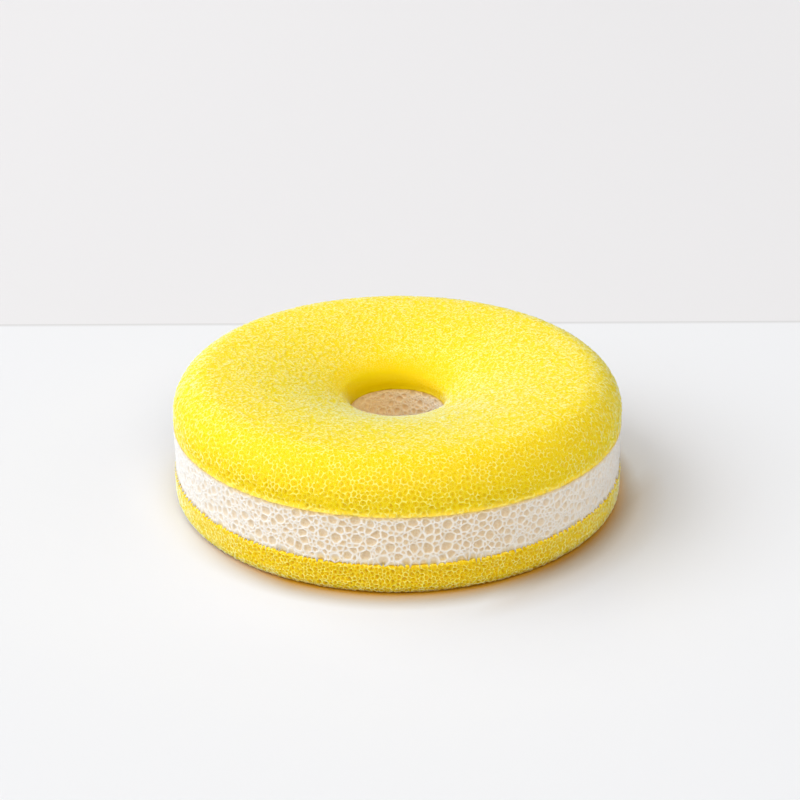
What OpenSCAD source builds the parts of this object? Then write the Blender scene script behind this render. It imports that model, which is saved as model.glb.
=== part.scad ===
// Round cleaning sponge: a thick formed pad, a coarse-celled core and a thin base pad,
// bonded face to face in one stack, with one hole down through all three.

/* [Disc] */
// Diameter of the core, which sets the size of the disc
disc_d = 100; // [70:1:140]
// Diameter of the hole through the middle
hole_d = 21.4; // [14:0.2:40]

/* [Top pad] */
// Thickness of the top pad along the ring of its crown
top_h = 10.8; // [9.2:0.2:18]
// Radius of the rolled outer rim
rim_r = 8.8; // [3:0.2:10.4]
// Radius with which the dished face rolls over into the hole
throat_r = 3.5; // [1:0.1:8]
// Height of the straight lip that is left under the throat
lip_h = 1.2; // [0.2:0.1:5]

/* [Core] */
// Thickness of the core
core_h = 10.8; // [6:0.2:20]

/* [Base pad] */
// Thickness of the base pad
base_h = 7.1; // [5.4:0.1:14]
// How far the base pad spreads past the core all round
base_spread = 0.4; // [0:0.1:3]
// Radius of the lower edges, at the outside and round the hole
base_edge_r = 2.5; // [0.5:0.1:5]

/* [Colours] */
// Colour of the two pads
pad_color = "#f6df46"; // [#f6df46:yellow, #8cc63f:green, #f29ab2:pink]
// Colour of the core
core_color = "#efe5d8"; // [#efe5d8:white, #c9e4f2:pale blue]

/* [Hidden] */
$fn = 128;
// How far a cut runs past the solid that it cuts
over = 1;

disc_r = disc_d / 2;
hole_r = hole_d / 2;
base_r = disc_r + base_spread;

// Heights of the two bonded faces and of the crown
core_z = base_h;
top_z = core_z + core_h;
crown_z = top_z + top_h;

// The crown is a ring where the rim ends level. One arc dishes the face inwards from it, and a
// second, tighter one carries on from the dish without a corner and ends upright in the hole.
crown_r = disc_r - rim_r;
throat_x = hole_r + throat_r;
throat_z = top_z + lip_h;
dish_run = crown_r - throat_x;
dish_drop = crown_z - throat_z;
dish_r = (dish_run ^ 2 + dish_drop ^ 2 - throat_r ^ 2) / (2 * (dish_drop - throat_r));
// Where the two arcs meet, on the line through both their centres
meet_x = throat_x - throat_r * dish_run / (dish_r - throat_r);

// What rounding off a corner takes away: the arc is centred on the origin, the corner is up and right
module corner_waste(r) {
    difference() {
        square(r + over);
        circle(r);
    }
}

// What the throat takes away, inboard of the point where it meets the dish
module throat_waste() {
    difference() {
        translate([hole_r - over, throat_z])
            square([meet_x - hole_r + over, dish_drop + over]);
        translate([throat_x, throat_z])
            circle(throat_r);
    }
}

// Half section of the top pad
module top_profile() {
    difference() {
        intersection() {
            translate([hole_r, top_z])
                square([disc_r - hole_r, top_h]);
            translate([crown_r, crown_z - dish_r])
                circle(dish_r);
        }
        translate([crown_r, crown_z - rim_r])
            corner_waste(rim_r);
        throat_waste();
    }
}

// Half section of the base pad
module base_profile() {
    difference() {
        translate([hole_r, 0])
            square([base_r - hole_r, base_h]);
        translate([base_r - base_edge_r, base_edge_r])
            rotate(-90)
                corner_waste(base_edge_r);
        translate([hole_r + base_edge_r, base_edge_r])
            rotate(180)
                corner_waste(base_edge_r);
    }
}

// Formed pad: rolled rim, crown, dish and throat in one piece
module top_pad() {
    color(pad_color)
        rotate_extrude()
            top_profile();
}

// Plain cut ring between the two pads
module core() {
    color(core_color)
        translate([0, 0, core_z])
            difference() {
                cylinder(h = core_h, r = disc_r);
                translate([0, 0, -over])
                    cylinder(h = core_h + 2 * over, r = hole_r);
            }
}

// Thin pad that the sponge stands on
module base_pad() {
    color(pad_color)
        rotate_extrude()
            base_profile();
}

top_pad();
core();
base_pad();
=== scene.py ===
import itertools
import math

import bmesh
import bpy
import numpy as np
from mathutils import Matrix, Vector
from mathutils.geometry import delaunay_2d_cdt
from mathutils.kdtree import KDTree


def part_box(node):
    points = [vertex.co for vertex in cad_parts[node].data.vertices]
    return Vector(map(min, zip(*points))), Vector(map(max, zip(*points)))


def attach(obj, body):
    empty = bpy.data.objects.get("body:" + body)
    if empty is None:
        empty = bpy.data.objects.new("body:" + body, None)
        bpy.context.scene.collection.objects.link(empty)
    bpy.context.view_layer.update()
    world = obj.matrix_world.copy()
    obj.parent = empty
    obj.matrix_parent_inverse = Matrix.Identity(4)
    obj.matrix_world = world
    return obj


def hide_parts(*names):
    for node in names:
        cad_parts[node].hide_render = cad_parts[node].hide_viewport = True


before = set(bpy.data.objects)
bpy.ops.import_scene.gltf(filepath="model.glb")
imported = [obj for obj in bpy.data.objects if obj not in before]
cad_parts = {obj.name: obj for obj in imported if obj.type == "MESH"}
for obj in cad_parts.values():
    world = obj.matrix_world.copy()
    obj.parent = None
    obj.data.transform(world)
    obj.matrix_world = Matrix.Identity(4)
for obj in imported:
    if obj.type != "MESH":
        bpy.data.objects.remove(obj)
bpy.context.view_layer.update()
MM = 0.001


# Camera: stands at arm's length in front of the sponge and looks down on it, through a lens that is
# a little longer than normal. Its place is fitted to the sponge's outline in the photograph.
look_down = math.radians(24.886)
roll = -0.0046
camera_data = bpy.data.cameras.new("camera")
camera_data.lens = 69.74
camera = bpy.data.objects.new("camera", camera_data)
bpy.context.collection.objects.link(camera)
camera.matrix_world = (
    Matrix.Translation((0.0006, -0.3155, 0.1665))
    @ Matrix.Rotation(math.pi / 2 - look_down, 4, "X")
    @ Matrix.Rotation(roll, 4, "Z")
)
bpy.context.scene.camera = camera
bpy.context.scene.view_settings.view_transform = "Standard"


# Light: a wide bright window along the left, as four lamps, then the pale room in front and its
# ceiling, and a weak light from the right. Each lamp is wide enough to blur its own shadow.
lamp_width = math.radians(40)
# name: where the light comes from, in degrees from +X towards +Y and above the floor, its share of
# the light on the floor and its colour. The light that comes back from the room is a little warm.
lamps = {
    "window_behind": (140, 45, 0.15, "#f9fbff"),
    "window": (180, 42, 0.24, "#f9fbff"),
    "window_sill": (195, 14, 0.04, "#f9fbff"),
    "window_in_front": (220, 40, 0.13, "#ffffff"),
    "room": (283, 42, 0.27, "#fffaf4"),
    "ceiling": (285, 68, 0.15, "#fffaf4"),
    "right": (355, 38, 0.07, "#fff6ec"),
}


def srgb(colour):
    """A hex colour as the linear RGBA that Blender's sockets take."""
    parts = [int(colour[i:i + 2], 16) / 255 for i in (1, 3, 5)]
    return [c / 12.92 if c <= 0.04045 else ((c + 0.055) / 1.055) ** 2.4 for c in parts] + [1]


for lamp_name, (azimuth, height, share, lamp_colour) in lamps.items():
    azimuth, height = math.radians(azimuth), math.radians(height)
    sideways = math.cos(height)
    towards = Vector((math.cos(azimuth) * sideways, math.sin(azimuth) * sideways, math.sin(height)))
    lamp_data = bpy.data.lights.new(lamp_name, "SUN")
    lamp_data.angle = lamp_width
    lamp_data.color = srgb(lamp_colour)[:3]
    lamp_data.energy = share * math.pi / math.sin(height)
    lamp = bpy.data.objects.new(lamp_name, lamp_data)
    lamp.matrix_world = towards.to_track_quat("Z", "Y").to_matrix().to_4x4()
    bpy.context.collection.objects.link(lamp)


def add_node(tree, kind, sockets=None, links=None, **settings):
    """Adds a node, sets its properties and sockets, and links other nodes' outputs to its inputs."""
    node = tree.nodes.new(kind)
    for key, value in settings.items():
        setattr(node, key, value)
    for key, value in (sockets or {}).items():
        node.inputs[key].default_value = value
    for key, source in (links or {}).items():
        tree.links.new(source, node.inputs[key])
    return node


# World: a faint even glow that fills the shadows. The camera, and whatever is glossy or clear, sees
# it as a plain pale grey.
world_glow = 0.08
world = bpy.data.worlds.new("room")
bpy.context.scene.world = world
world.use_nodes = True
world.node_tree.nodes.clear()
glow = add_node(world.node_tree, "ShaderNodeBackground",
                {"Color": srgb("#ffffff"), "Strength": world_glow})
seen = add_node(world.node_tree, "ShaderNodeBackground", {"Color": srgb("#ececec"), "Strength": 1})
ray = add_node(world.node_tree, "ShaderNodeLightPath")
shiny = add_node(world.node_tree, "ShaderNodeMath", operation="MAXIMUM",
                 links={0: ray.outputs["Is Glossy Ray"], 1: ray.outputs["Is Transmission Ray"]})
direct = add_node(world.node_tree, "ShaderNodeMath", operation="MAXIMUM",
                  links={0: ray.outputs["Is Camera Ray"], 1: shiny.outputs[0]})
room_mix = add_node(world.node_tree, "ShaderNodeMixShader",
                    links={0: direct.outputs[0], 1: glow.outputs[0], 2: seen.outputs[0]})
add_node(world.node_tree, "ShaderNodeOutputWorld", links={"Surface": room_mix.outputs[0]})


# Floor: a plain pale sheet. Behind the sponge its tone steps down to a greyer one along a thin soft line
# of painted shadow, so that the background has two quiet tones with nothing upright in it.
floor_size = 8
# How far behind the sponge's middle that painted shadow line starts, is darkest and ends, in metres
line_start, shadow_line_darkest, line_end = 0.0940, 0.0957, 0.0964
# White laminate, pressed with a matt finish: it scatters all light, so it shows no gloss or mirror
# image, only the sponge's soft shade
floor_material = bpy.data.materials.new("matte_white_laminate")
floor_material.use_nodes = True
floor_tree = floor_material.node_tree
floor_tree.nodes.clear()
place = add_node(floor_tree, "ShaderNodeTexCoord")
axes = add_node(floor_tree, "ShaderNodeSeparateXYZ", links={"Vector": place.outputs["Object"]})
span_start, span_end = 0.09, 0.10
depth = add_node(floor_tree, "ShaderNodeMapRange", {"From Min": span_start, "From Max": span_end},
                 {"Value": axes.outputs["Y"]})
tone = add_node(floor_tree, "ShaderNodeValToRGB", links={"Fac": depth.outputs[0]})
tones = tone.color_ramp.elements
tones[0].position = (line_start - span_start) / (span_end - span_start)
tones[0].color = srgb("#ebedf0")
tones[1].position = (line_end - span_start) / (span_end - span_start)
tones[1].color = srgb("#e6e6e8")
# The darkest tone on the line is a painted shadow
tones.new((shadow_line_darkest - span_start) / (span_end - span_start)).color = srgb("#d5d5d6")
# Little light gets in where the floor meets the sponge, and what does comes through the yellow foam
beside = add_node(floor_tree, "ShaderNodeAmbientOcclusion", {"Distance": 0.006}, samples=4)
contact = add_node(floor_tree, "ShaderNodeValToRGB", links={"Fac": beside.outputs["AO"]})
shades = contact.color_ramp.elements
shades[0].position, shades[0].color = 0.25, srgb("#ffc02c")
shades[1].position, shades[1].color = 1.0, srgb("#ffffff")
shades.new(0.6).color = srgb("#c6ab80")
shades.new(0.85).color = srgb("#f6f5f3")
# Further out the shade is wide and a little blue, but not on the right
around = add_node(floor_tree, "ShaderNodeAmbientOcclusion", {"Distance": 0.04}, samples=4)
to_right = add_node(floor_tree, "ShaderNodeMapRange", {"From Min": 0.04, "From Max": 0.052},
                    {"Value": axes.outputs["X"]})
bounce_low = add_node(floor_tree, "ShaderNodeMix", {6: srgb("#e6ebfa"), 7: srgb("#ffffff")},
                      {0: to_right.outputs[0]}, data_type="RGBA")
bounce = add_node(floor_tree, "ShaderNodeMix", {7: srgb("#ffffff")},
                  {0: around.outputs["AO"], 6: bounce_low.outputs[2]}, data_type="RGBA")
# The window lights the floor on the left right up to the sponge
from_window = add_node(floor_tree, "ShaderNodeMapRange",
                       {"From Min": -0.047, "From Max": -0.022, "To Min": 0.05},
                       {"Value": axes.outputs["X"]})
shaded = add_node(floor_tree, "ShaderNodeMix", data_type="RGBA", blend_type="MULTIPLY",
                  links={0: from_window.outputs[0], 6: tone.outputs["Color"],
                         7: contact.outputs["Color"]})
shaded_wide = add_node(floor_tree, "ShaderNodeMix", {0: 1.0},
                       {6: shaded.outputs[2], 7: bounce.outputs[2]},
                       data_type="RGBA", blend_type="MULTIPLY")
# On its front right the sponge keeps more of the room's light from the floor close by
toward = add_node(floor_tree, "ShaderNodeVectorMath", {1: (0.82, -0.57, 0)}, {0: place.outputs["Object"]},
                  operation="DOT_PRODUCT")
front_right = add_node(floor_tree, "ShaderNodeMapRange", {"From Min": 0.044, "From Max": 0.049},
                       {"Value": toward.outputs["Value"]})
near_sponge = add_node(floor_tree, "ShaderNodeAmbientOcclusion", {"Distance": 0.012}, samples=4)
close_by = add_node(floor_tree, "ShaderNodeMapRange", {"From Min": 1.0, "From Max": 0.88},
                    {"Value": near_sponge.outputs["AO"]})
kept_light = add_node(floor_tree, "ShaderNodeMath", operation="MULTIPLY",
                      links={0: front_right.outputs[0], 1: close_by.outputs[0]})
shaded_more = add_node(floor_tree, "ShaderNodeMix", {7: srgb("#ede6dd")},
                       {0: kept_light.outputs[0], 6: shaded_wide.outputs[2]},
                       data_type="RGBA", blend_type="MULTIPLY")
# Away from the window the whole floor gets a little darker
across = add_node(floor_tree, "ShaderNodeMapRange",
                  {"From Min": -0.15, "From Max": 0.15, "To Min": 1.0, "To Max": 0.955},
                  {"Value": axes.outputs["X"]})
dimmed = add_node(floor_tree, "ShaderNodeVectorMath", operation="SCALE",
                  links={0: shaded_more.outputs[2], "Scale": across.outputs[0]})
floor_matt = add_node(floor_tree, "ShaderNodeBsdfDiffuse", links={"Color": dimmed.outputs[0]})
add_node(floor_tree, "ShaderNodeOutputMaterial", links={"Surface": floor_matt.outputs[0]})
bpy.ops.mesh.primitive_plane_add(size=floor_size)
floor = bpy.context.object
floor.name = "floor"
floor.data.materials.append(floor_material)


# Base pad: thin yellow polyurethane foam with fine open cells, die-cut to a ring and bonded under the
# core. The camera sees its wall, and its small rounded lower edge rests on the floor.
def arc(centre, radius, start, end):
    """Points (radius, height) in mm along an arc, from start to end in degrees."""
    angles = np.radians(np.linspace(start, end, 2 + int(abs(end - start) / 3)))
    return np.column_stack((centre[0] + radius * np.cos(angles), centre[1] + radius * np.sin(angles)))


def turned_face(*runs, grain=None, finer_sides=0):
    """The face that a line of (radius, height) points in mm sweeps round the axis, solid on its left.

    Its strip coordinate is stretched by 1 / radius, which makes it as true to shape as the turn angle.
    grain gives, for radii and heights, the size of the cells there as a share of the largest, and
    finer_sides how much smaller they are on the left and right than in front and behind."""
    line = np.vstack(runs)
    run = np.r_[0, np.cumsum(np.hypot(*np.diff(line, axis=0).T))]
    at = np.linspace(0, run[-1], int(run[-1] / 0.1))
    radius, height = (np.interp(at, run, line[:, i]) for i in (0, 1))
    step = np.hypot(np.diff(radius), np.diff(height))
    middle = (radius[1:] + radius[:-1]) / 2
    along_r, along_z = np.gradient(radius), np.gradient(height)
    length = np.hypot(along_r, along_z)
    return {
        "strip": np.r_[0, np.cumsum(step / middle)],
        "area": np.r_[0, np.cumsum(step * middle * 2 * math.pi)],
        "radius": radius,
        "height": height,
        "out_r": along_z / length,
        "out_z": -along_r / length,
        "grain": grain(radius, height) if grain else np.ones(len(radius)),
        "finer_sides": finer_sides,
    }


def on_face(face, turn, strip):
    """Points on the face and its outward normals there."""
    radius, height, out_r, out_z = (
        np.interp(strip, face["strip"], face[key]) for key in ("radius", "height", "out_r", "out_z")
    )
    cos, sin = np.cos(turn), np.sin(turn)
    return (
        np.column_stack((radius * cos, radius * sin, height)),
        np.column_stack((out_r * cos, out_r * sin, out_z)),
    )


def throw_cells(face, sizes, random):
    """Throws cell centres on the face, the largest size first, and keeps each that clears the others.

    sizes is a list of (radius in mm, throws for each square mm). Returns turn, strip and radius."""
    kept = []
    larger = []
    for radius, density in sizes:
        throws = int(density * face["area"][-1])
        strip = np.interp(random.random(throws) * face["area"][-1], face["area"], face["strip"])
        turn = random.random(throws) * 2 * math.pi
        points = on_face(face, turn, strip)[0].tolist()
        grain = np.interp(strip, face["strip"], face["grain"])
        grain = (grain * (1 - face["finer_sides"] * np.cos(turn) ** 2)).tolist()
        gap = 1.9 * radius
        grid = {}
        mine = []
        for i, point in enumerate(points):
            if any(tree.find(point)[2] < (radius + other) * grain[i] for tree, other in larger):
                continue
            x, y, z = (int(c // gap) for c in point)
            near = [
                grid[key]
                for key in itertools.product((x - 1, x, x + 1), (y - 1, y, y + 1), (z - 1, z, z + 1))
                if key in grid
            ]
            if all(math.dist(point, other) >= gap * grain[i] for others in near for other in others):
                grid.setdefault((x, y, z), []).append(point)
                mine.append(i)
        tree = KDTree(len(mine))
        for i in mine:
            tree.insert(points[i], i)
        tree.balance()
        larger.append((tree, radius))
        kept.append(np.column_stack((turn[mine], strip[mine], radius * np.array(grain)[mine])))
    return np.vstack(kept)


def foam_walls(face, cells):
    """Divides a face into one polygon for each cell, which share their corners.

    Returns the corners' turn and strip, a mask of those on the ends, and for each side of a polygon
    its cell, its first corner and the side that follows it. The cells are mirrored in both ends of
    the face and repeated past a full turn, so that every polygon closes."""
    count = len(cells)
    flat, radius = cells[:, :2], cells[:, 2]
    low, high = face["strip"][0], face["strip"][-1]
    # The largest cells are well under this far across, in radians of turn
    margin = 0.45
    spread, home = [flat], [np.arange(count)]
    for i, end in enumerate((low, high)):
        near = np.abs(flat[:, 1] - end) < margin
        spread.append(flat[near] * (1, -1) + (0, 2 * end))
        home.append(np.flatnonzero(near) + count * (i + 1))
    spread, home = np.vstack(spread), np.hstack(home)
    before, after = spread[:, 0] > 2 * math.pi - margin, spread[:, 0] < margin
    home = np.hstack((home, home[before], home[after]))
    spread = np.vstack((spread, spread[before] - (2 * math.pi, 0), spread[after] + (2 * math.pi, 0)))
    found = delaunay_2d_cdt([Vector(p) for p in spread.tolist()], [], [], 0, 1e-9)
    original = np.array([ids[0] for ids in found[3]])
    triangles = original[np.array(found[2])]
    triangles = triangles[(triangles < count).any(axis=1)]
    named = home[triangles]
    first, corner_of = np.unique(np.sort(named, axis=1), axis=0, return_index=True,
                                 return_inverse=True)[1:]
    corner_of = corner_of.ravel()
    # A corner lies nearer to its small cells. On an end it lies where the mirrored cells meet.
    points = spread[triangles]
    pull = 1 / radius[named % count]
    corners = (points * pull[:, :, None]).sum(axis=1) / pull.sum(axis=1)[:, None]
    a, b, c = points[:, 0], points[:, 1], points[:, 2]
    square = (points ** 2).sum(axis=2)
    rise_a, rise_b, rise_c = (b - c)[:, 1], (c - a)[:, 1], (a - b)[:, 1]
    twice = 2 * (a[:, 0] * rise_a + b[:, 0] * rise_b + c[:, 0] * rise_c)
    middle = (square[:, 0] * rise_a + square[:, 1] * rise_b + square[:, 2] * rise_c) / twice
    for i, end in enumerate((low, high)):
        on_end = (named // count == i + 1).any(axis=1)
        corners[on_end, 0] = middle[on_end]
        corners[on_end, 1] = end
    rows, places = np.nonzero(triangles < count)
    cell = triangles[rows, places]
    way = corners[rows] - spread[cell]
    order = np.lexsort((np.arctan2(way[:, 1], way[:, 0]), cell))
    cell, corner = cell[order], corner_of[rows[order]]
    start = np.searchsorted(cell, np.arange(count))
    following = np.arange(len(cell)) + 1
    last = np.r_[start[1:], len(cell)] - 1
    following[last] = start
    corners = corners[first]
    return corners, cell, corner, following


def foam_skin(face, sizes, strut, pit, rings, roundness, ragged, seed, press_and_shade=None, seam=0, hang=None):
    """Makes the open cells of a face: struts along the polygons' sides, and a pit inside each.

    strut is the half width of a strut and ragged how far its corners stray, in mm. pit is a pit's
    depth as a share of the cell's radius. Each ring is (share of the way in, share of the depth).
    press_and_shade gives, for points, how far heat has fused the cells there, from 0 to 1; the material
    paints shade and bounce light by the same amount. The pits get shallower within seam mm of the bond.
    With hang the cells where the face starts are cut open, and the ends of their struts stick out and
    hang down over the next layer by up to that much, in mm. Returns points, depths in mm, press_and_shade
    and the faces."""
    lean_height = 0.6
    strut_ends = 977
    cut_depth = 0.45
    fused_depth = 0.55
    random = np.random.default_rng(seed)
    cells = throw_cells(face, sizes, random)
    corners, cell, corner, following = foam_walls(face, cells)
    count = len(cells)
    skin, out = on_face(face, corners[:, 0], corners[:, 1])
    on_end = np.isin(corners[:, 1], (face["strip"][0], face["strip"][-1]))
    stray = np.clip(random.normal(-0.3, 0.8, len(skin)), -2.5, 1) * ragged
    stray[on_end] = 0
    pressed_and_shaded = press_and_shade(skin) if press_and_shade else np.zeros(len(skin))
    stray *= 1 - pressed_and_shaded
    tops = skin + out * stray[:, None]
    low = corners[:, 1] == face["strip"][0] if hang else np.zeros(len(skin), bool)
    if hang:
        near = np.clip(1 - (skin[:, 2] - face["height"][0]) / lean_height, 0, 1) ** 2
        tops += out * (hang[0] * near)[:, None]
        # Corners that lie on each other have to hang alike, so the drop follows from the turn angle
        angle = corners[low, 0]
        runs = 0.55 + 0.45 * np.sin(67 * angle + 3 * np.sin(19 * angle))
        tops[low, 2] -= hang[1] * runs * (0.5 + 0.5 * np.sin(strut_ends * angle)) ** 1.5
    sides = np.bincount(cell, minlength=count)
    centre = np.column_stack([np.bincount(cell, skin[corner, i], count) / sides for i in range(3)])
    inward = np.column_stack([np.bincount(cell, -out[corner, i], count) for i in range(3)])
    inward /= np.linalg.norm(inward, axis=1)[:, None]
    way = centre[cell] - skin[corner]
    reach = np.linalg.norm(way, axis=1)
    mean_reach = np.bincount(cell, reach, count) / sides
    cell_press_and_shade = np.bincount(cell, pressed_and_shaded[corner], count) / sides
    depth = pit * mean_reach * random.uniform(0.8, 1.15, count) * (1 - fused_depth * cell_press_and_shade)
    if seam:
        depth *= np.clip(np.abs(centre[:, 2] - face["height"][0]) / seam, 0.3, 1)
    # The mouth of a pit is rounder than its polygon, which leaves the struts thick where they meet
    mouth = np.minimum(reach, mean_reach[cell] * 1.05) * roundness + reach * (1 - roundness) - strut
    mouth = np.clip(mouth, 0.3 * reach, 0.9 * reach)
    cut = low[corner]
    depth[cell[cut]] *= cut_depth
    # A side between two corners that lie on each other has no length and needs no hem
    side_turn = np.abs(corners[corner[following], 0] - corners[corner, 0])
    cut_side = np.flatnonzero(cut & cut[following] & (side_turn > 1e-6))
    points, depths, presses_and_shades, faces = [tops], [-stray], [pressed_and_shaded], []
    base = len(tops)
    outer = corner
    for share_in, share_down in rings:
        far = mouth * (1 - share_in)
        down = depth[cell] * share_down
        ring = centre[cell] - way * (far / reach)[:, None]
        ring += inward[cell] * down[:, None]
        if cut.any():
            ring[cut, 2] = skin[corner[cut], 2]
        inner = base + np.arange(len(cell))
        quads = np.column_stack((outer, outer[following], inner[following], inner))
        faces.append(quads[~(cut & cut[following])])
        points.append(ring)
        depths.append(down)
        presses_and_shades.append(cell_press_and_shade[cell])
        base += len(cell)
        outer = inner
    points.append(centre + inward * depth[:, None])
    depths.append(depth)
    presses_and_shades.append(cell_press_and_shade)
    faces.append(np.column_stack((outer, outer[following], base + cell)))
    if hang:
        hem = np.empty(len(skin), int)
        hem[low] = base + count + np.arange(low.sum())
        points.append(skin[low])
        depths.append(np.zeros(low.sum()))
        presses_and_shades.append(pressed_and_shaded[low])
        start, end = corner[cut_side], corner[following[cut_side]]
        first_ring = len(tops) + np.arange(len(cell))
        if rings:
            faces.append(np.column_stack((first_ring[cut_side], start, hem[start])))
            faces.append(np.column_stack((end, first_ring[following[cut_side]], hem[end])))
        else:
            faces.append(np.column_stack((end, start, hem[start], hem[end])))
    return np.vstack(points), np.hstack(depths), np.hstack(presses_and_shades), faces


def close_bond(work, height):
    """Closes the flat bonded face between the outer and the inner rim that are open at a height.

    The rims are jagged and share a centre, where bridging them can twist, so they are zipped here."""
    left = {v for v in work.verts if v.is_boundary and abs(v.co.z - height * MM) < 0.02 * MM}
    middle = sum(v.co.z for v in work.verts) / len(work.verts)
    rims = []
    while left:
        rim = [left.pop()]
        step = rim
        while step:
            step = [e.other_vert(rim[-1]) for e in rim[-1].link_edges if e.is_boundary]
            step = [v for v in step if v in left][:1]
            left.difference_update(step)
            rim += step
        turn = np.unwrap([math.atan2(v.co.y, v.co.x) for v in rim])
        if turn[-1] < turn[0]:
            rim, turn = rim[::-1], turn[::-1]
        first = int(np.argmin(np.mod(turn, 2 * math.pi)))
        rim = rim[first:] + rim[:first + 1]
        turn = np.unwrap([math.atan2(v.co.y, v.co.x) for v in rim])
        rims.append((rim[0].co.xy.length, rim, turn - turn[0]))
    inner, outer = [rim[1:] for rim in sorted(rims, key=lambda rim: rim[0])]
    i = j = 0
    while i < len(inner[0]) - 1 or j < len(outer[0]) - 1:
        at_end = i == len(inner[0]) - 1
        if at_end or (j < len(outer[0]) - 1 and outer[1][j + 1] <= inner[1][i + 1]):
            corners = (outer[0][j], outer[0][j + 1], inner[0][i])
            j += 1
        else:
            corners = (outer[0][j], inner[0][i + 1], inner[0][i])
            i += 1
        work.faces.new(corners if height * MM > middle else corners[::-1])


def foam_piece(name, skins, bonds, material):
    """Joins the skins of a layer into one mesh and closes it with its flat bonded faces, at the
    heights in bonds."""
    points = np.vstack([skin[0] for skin in skins]) * MM
    faces = []
    base = 0
    for skin in skins:
        for group in skin[3]:
            faces.extend((group + base).tolist())
        base += len(skin[0])
    mesh = bpy.data.meshes.new(name)
    mesh.from_pydata(points.tolist(), [], faces)
    for key, column in (("depth", 1), ("press_and_shade", 2)):
        values = np.hstack([skin[column] for skin in skins]).astype(np.float32)
        mesh.attributes.new(key, "FLOAT", "POINT").data.foreach_set("value", values)
    piece = bpy.data.objects.new(name, mesh)
    bpy.context.collection.objects.link(piece)
    bpy.ops.object.select_all(action="DESELECT")
    piece.select_set(True)
    bpy.context.view_layer.objects.active = piece
    mesh.polygons.foreach_set("use_smooth", np.ones(len(mesh.polygons), bool))
    bpy.ops.object.mode_set(mode="EDIT")
    bpy.ops.mesh.select_mode(type="VERT")
    bpy.ops.mesh.select_all(action="SELECT")
    bpy.ops.mesh.remove_doubles(threshold=0.01 * MM)
    bpy.ops.object.mode_set(mode="OBJECT")
    walls = len(mesh.polygons)
    work = bmesh.new()
    work.from_mesh(mesh)
    for height in bonds:
        close_bond(work, height)
    work.to_mesh(mesh)
    work.free()
    mesh.polygons.foreach_set("use_smooth", np.arange(len(mesh.polygons)) < walls)
    mesh.materials.append(material)
    return piece


# Heights of the two bonds, in mm
core_low, core_high = (corner.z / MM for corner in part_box("core"))


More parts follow.
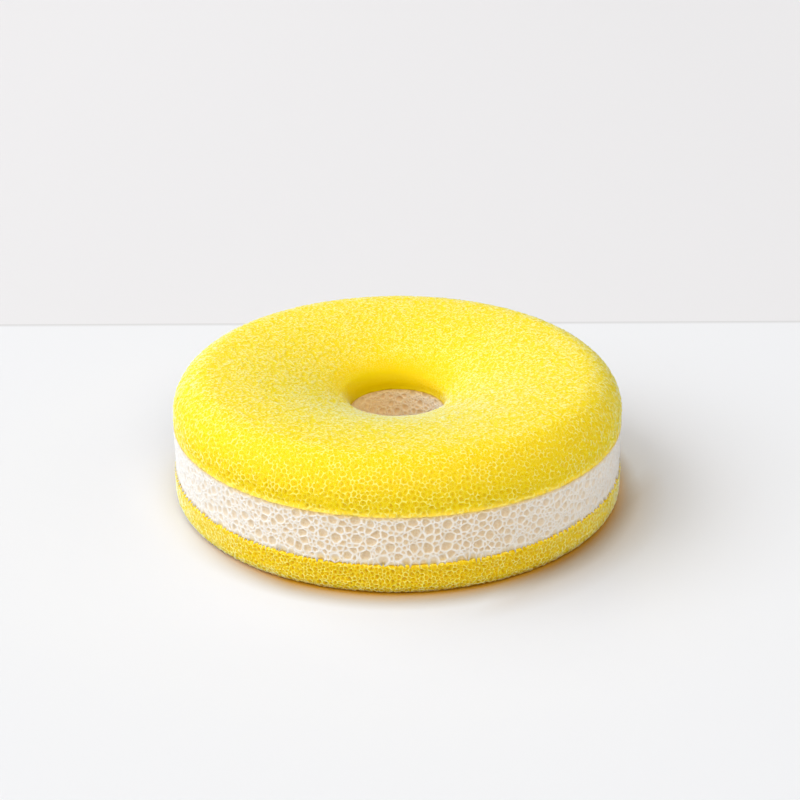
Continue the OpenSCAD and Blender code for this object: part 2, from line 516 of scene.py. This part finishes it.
def foam_material(name, strut_colour, pit_colour, pit_depth, strand_spacing, soft, painted_bond_light, side,
                  hole_shade_and_bounce_colour):
    """Foam that lets light soft mm in. Its struts are painted pale, a painted highlight, and finer
    strands strand_spacing mm apart cross its pits, which have their full pit colour from pit_depth mm
    down. Next to a bond they take painted_bond_light, painted light, and where press_and_shade is high it
    all takes hole_shade_and_bounce_colour, painted shade and warm bounce light.

    side is 1 for a layer outside the two bonds and -1 for the one between them: at a bond the glue
    stops the light."""
    material = bpy.data.materials.new(name)
    material.use_nodes = True
    tree = material.node_tree
    tree.nodes.clear()
    place = add_node(tree, "ShaderNodeTexCoord")
    depth = add_node(tree, "ShaderNodeAttribute", attribute_name="depth")
    press_and_shade = add_node(tree, "ShaderNodeAttribute", attribute_name="press_and_shade")
    strut = add_node(tree, "ShaderNodeMapRange", {"From Min": pit_depth, "From Max": 0.03},
                     {"Value": depth.outputs["Fac"]}, interpolation_type="SMOOTHSTEP")
    # The strands are the struts of the cells behind. They wander, and fade in patches some cells wide.
    wander = add_node(tree, "ShaderNodeTexNoise", {"Scale": 1 / (1.2 * MM), "Detail": 1},
                      {"Vector": place.outputs["Object"]})
    bent = add_node(tree, "ShaderNodeVectorMath", {1: (0.5 * MM,) * 3},
                    {0: wander.outputs["Color"], 2: place.outputs["Object"]}, operation="MULTIPLY_ADD")
    faint = add_node(tree, "ShaderNodeMapRange", {"From Min": 0.4, "From Max": 0.6, "To Min": 0.75},
                     {"Value": wander.outputs["Fac"]})
    strands = add_node(tree, "ShaderNodeTexVoronoi", {"Scale": 1 / (strand_spacing * MM)},
                       {"Vector": bent.outputs[0]}, feature="DISTANCE_TO_EDGE")
    strand = add_node(tree, "ShaderNodeMapRange", {"From Min": 0.10, "From Max": 0.02, "To Max": 0.4},
                      {"Value": strands.outputs["Distance"]}, interpolation_type="SMOOTHSTEP")
    pale = add_node(tree, "ShaderNodeMath", operation="MAXIMUM",
                    links={0: strut.outputs[0], 1: strand.outputs[0]})
    # Where press_and_shade is high the struts lose their painted highlight: painted shade
    loose_and_lit = add_node(tree, "ShaderNodeMath", {0: 1.0}, {1: press_and_shade.outputs["Fac"]}, operation="SUBTRACT")
    clear = add_node(tree, "ShaderNodeMath", operation="MULTIPLY",
                     links={0: loose_and_lit.outputs[0], 1: faint.outputs[0]})
    paleness = add_node(tree, "ShaderNodeMath", operation="MULTIPLY",
                        links={0: pale.outputs[0], 1: clear.outputs[0]})
    axes = add_node(tree, "ShaderNodeSeparateXYZ", links={"Vector": place.outputs["Object"]})
    middle = (core_low + core_high) / 2 * MM
    half = (core_high - core_low) / 2 * MM
    from_middle = add_node(tree, "ShaderNodeMath", {1: middle}, {0: axes.outputs["Z"]},
                           operation="SUBTRACT")
    away = add_node(tree, "ShaderNodeMath", links={0: from_middle.outputs[0]}, operation="ABSOLUTE")
    bond_fade = 1.2 * MM
    glow = add_node(tree, "ShaderNodeMapRange", {"From Min": half, "From Max": half + side * bond_fade},
                    {"Value": away.outputs[0]}, interpolation_type="SMOOTHSTEP")
    # Next to a bond the pits are painted with painted_bond_light: painted light, for the glow that the
    # bond stops and, in the core, for the yellow light from the pads
    near_bond = add_node(tree, "ShaderNodeMapRange",
                         {"From Min": half + side * bond_fade, "From Max": half, "To Max": 0.85},
                         {"Value": away.outputs[0]})
    near_bond_loose_and_lit = add_node(tree, "ShaderNodeMath", operation="MULTIPLY",
                          links={0: near_bond.outputs[0], 1: loose_and_lit.outputs[0]})
    pits = add_node(tree, "ShaderNodeMix", {6: srgb(pit_colour), 7: srgb(painted_bond_light)},
                    {0: near_bond_loose_and_lit.outputs[0]}, data_type="RGBA")
    # The core's pits are painted paler to the left and right, where its cells are finer: on the left this
    # is painted light, as the window lights them from the front and washes out their shade
    sideways = add_node(tree, "ShaderNodeMath", links={0: axes.outputs["X"]}, operation="ABSOLUTE")
    painted_side_light = add_node(tree, "ShaderNodeMapRange",
                       {"From Min": 0.018, "From Max": 0.046, "To Max": 0.6 if side < 0 else 0},
                       {"Value": sideways.outputs[0]})
    pits_with_side_light = add_node(tree, "ShaderNodeMix", {7: srgb(strut_colour)},
                          {0: painted_side_light.outputs[0], 6: pits.outputs[2]}, data_type="RGBA")
    # Painted yellow light: a little way down from its upper bond the core's struts are painted with the
    # yellow that light through and from the top pad gives them
    painted_yellow_light_top = add_node(tree, "ShaderNodeMapRange",
                        {"From Min": (core_high - 0.9) * MM, "From Max": core_high * MM,
                         "To Max": 1.0 if side < 0 else 0},
                        {"Value": axes.outputs["Z"]})
    struts = add_node(tree, "ShaderNodeMix", {6: srgb(strut_colour), 7: srgb(painted_bond_light)},
                      {0: painted_yellow_light_top.outputs[0]}, data_type="RGBA")
    open_foam = add_node(tree, "ShaderNodeMix", data_type="RGBA",
                         links={0: paleness.outputs[0], 6: pits_with_side_light.outputs[2], 7: struts.outputs[2]})
    # Where press_and_shade is high the foam is painted hole_shade_and_bounce_colour: painted shade in the
    # throat, painted warm bounce light in the bore
    fused_shade = add_node(tree, "ShaderNodeMath", {1: 0.8}, {0: press_and_shade.outputs["Fac"]}, operation="MULTIPLY")
    colour = add_node(tree, "ShaderNodeMix", {7: srgb(hole_shade_and_bounce_colour)},
                      {0: fused_shade.outputs[0], 6: open_foam.outputs[2]}, data_type="RGBA")
    foam = add_node(tree, "ShaderNodeBsdfPrincipled",
                    {"Roughness": 0.5, "Specular IOR Level": 0.05, "Subsurface Radius": (1, 1, 1),
                     "Subsurface Scale": soft * MM},
                    {"Base Color": colour.outputs[2], "Subsurface Weight": glow.outputs[0]})
    add_node(tree, "ShaderNodeOutputMaterial", links={"Surface": foam.outputs[0]})
    return material


# Open-cell polyurethane, dyed through and foamed in a block: bright pits that glow with light from
# inside, between thin matt struts that catch it; their pale colour is a painted highlight. The cut wall
# of the base shows deeper pits than the skin of the formed top, and the base's copy of this foam is
# painted deeper and less pale, painted shade. Strands 0.36 mm apart stand for the struts of the cells
# behind, which lie 0.8 to 0.9 mm apart and are seen through each other.
yellow_foam = foam_material(
    "open_cell_polyurethane_yellow", strut_colour="#ffea76", pit_colour="#ffd600", pit_depth=0.09,
    strand_spacing=0.36, soft=1.0, painted_bond_light="#ffda4c", side=1, hole_shade_and_bounce_colour="#dec600",
)
# The base pad's copy of the yellow foam is painted deeper and less pale: painted shade, as its wall gets
# less light than the top
base_yellow_foam = foam_material(
    "open_cell_polyurethane_yellow_painted_shade", strut_colour="#fff070", pit_colour="#f6ca00", pit_depth=0.12,
    strand_spacing=0.36, soft=1.0, painted_bond_light="#fbd300", side=1, hole_shade_and_bounce_colour="#dec600",
)
core_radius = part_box("core")[1].x / MM
base_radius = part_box("base_pad")[1].x / MM
hole_radius = 10.7
base_edge = 2.5
# The base pad's upper edge is a little rounded, and its skin runs this far in under the core's ends
ledge_round = 0.35
ledge = 1.2
# Radii of the cells and how many are thrown for each square mm, which gives 28 cells an inch here and
# 33 on the top pad
pad_cells = ((0.42, 1.2), (0.28, 18.0))
# A pit this small is a plain cone
pad_rings = ()
base_face = turned_face(
    [(hole_radius, core_low)],
    arc((hole_radius + base_edge, base_edge), base_edge, 180, 270),
    arc((base_radius - base_edge, base_edge), base_edge, 270, 360),
    arc((base_radius - ledge_round, core_low - ledge_round), ledge_round, 0, 90),
    [(core_radius - ledge, core_low)],
)
base_skin = foam_skin(base_face, pad_cells, strut=0.16, pit=1.4, rings=pad_rings, roundness=0.5,
                      ragged=0.10, seed=11, seam=0.5)
base_pad = foam_piece("base_foam", [base_skin], [core_low], base_yellow_foam)
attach(base_pad, "root")
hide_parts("base_pad")


# Core: coarse white polyurethane foam with uneven open cells, cut to a plain ring. The cells at its
# lower bond are cut open, so its struts end ragged against the yellow pad.
# Undyed open-cell polyurethane, foamed coarse: clean white struts, and pits painted a warm beige, painted
# shade and the light that comes back out of them from the yellow pads. The strands are 0.6 mm apart.
white_foam = foam_material(
    "open_cell_polyurethane_white", strut_colour="#ede9e2", pit_colour="#e3cfac", pit_depth=0.3,
    strand_spacing=0.6, soft=1.6, painted_bond_light="#f4d070", side=-1, hole_shade_and_bounce_colour="#fcd892",
)
core_cells = ((1.1, 0.12), (0.8, 0.5), (0.55, 1.5), (0.38, 5.0), (0.26, 10.0))
core_rings = ((0.0, 0.15), (0.25, 0.7), (0.6, 0.95))
# The hot tube that cuts the bore draws the cells together
bore_cells = [(0.75 * radius, density) for radius, density in core_cells]
core_outside = turned_face([(core_radius, core_low), (core_radius, core_high)], finer_sides=0.25)
core_bore = turned_face([(hole_radius, core_high), (hole_radius, core_low)])


def bore_press_and_shade(points):
    """The bore is cut with a hot tube, which leaves its struts a little fused, most on the left. The same
    amount gives them painted shade and warm bounce light, for the left side lies in shade.
    """
    return 0.45 - 0.35 * points[:, 0] / np.hypot(points[:, 0], points[:, 1])


core_skins = [
    foam_skin(core_outside, core_cells, strut=0.13, pit=0.45, rings=core_rings, roundness=0.85,
              ragged=0.10, seed=21, hang=(0.42, 0.9)),
    foam_skin(core_bore, bore_cells, strut=0.10, pit=0.5, rings=core_rings, roundness=0.85,
              ragged=0.10, seed=22, press_and_shade=bore_press_and_shade),
]
core = foam_piece("core_foam", core_skins, [core_low, core_high], white_foam)
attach(core, "root")
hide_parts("core")


# Top pad: the same yellow foam as the base, thicker and formed under heat, so that its outer rim is
# rolled, its face is dished and it turns down into the hole. It is bonded on the core.
crown_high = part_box("top_pad")[1].z / MM
rim_radius = 8.8
throat_radius = 3.5
lip_height = 1.2
crown_radius = core_radius - rim_radius
throat_centre = (hole_radius + throat_radius, core_high + lip_height)
dish_run = crown_radius - throat_centre[0]
dish_drop = crown_high - throat_centre[1]
# The dish and the throat meet without a corner, on the line through both their centres
dish_radius = (dish_run ** 2 + dish_drop ** 2 - throat_radius ** 2) / (2 * (dish_drop - throat_radius))
dish_turn = math.degrees(math.asin(dish_run / (dish_radius - throat_radius)))
top_face = turned_face(
    [(core_radius, core_high)],
    arc((crown_radius, crown_high - rim_radius), rim_radius, 0, 90),
    arc((crown_radius, crown_high - dish_radius), dish_radius, 90, 90 + dish_turn),
    arc(throat_centre, throat_radius, 90 + dish_turn, 180),
    [(hole_radius, core_high)],
    # Forming has stretched the cells on the rolled rim and drawn them together in the dish
    grain=lambda radius, height: np.interp(radius, (24, 36, core_radius - 5, core_radius),
                                           (0.72, 0.8, 0.9, 1.2)),
)


def throat_press_and_shade(points):
    """The throat is formed hottest: its cells are fused from the edge of the dish down, most at the back
    and on the left. The same amount gives them painted shade, for these sides lie in shade."""
    from_axis = np.hypot(points[:, 0], points[:, 1])
    side = np.clip(0.3 + 0.7 * points[:, 1] / from_axis - 0.25 * points[:, 0] / from_axis, 0.12, 1)
    return side * np.clip((24.2 - points[:, 2]) / 2.4, 0, 1) * (from_axis < throat_centre[0] + 6)


top_skin = foam_skin(top_face, pad_cells, strut=0.16, pit=1.05, rings=pad_rings, roundness=0.5,
                     ragged=0.10, seed=31, press_and_shade=throat_press_and_shade, seam=0.8, hang=(0.0, 0.25))
top_pad = foam_piece("top_foam", [top_skin], [core_high], yellow_foam)
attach(top_pad, "root")
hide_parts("top_pad")
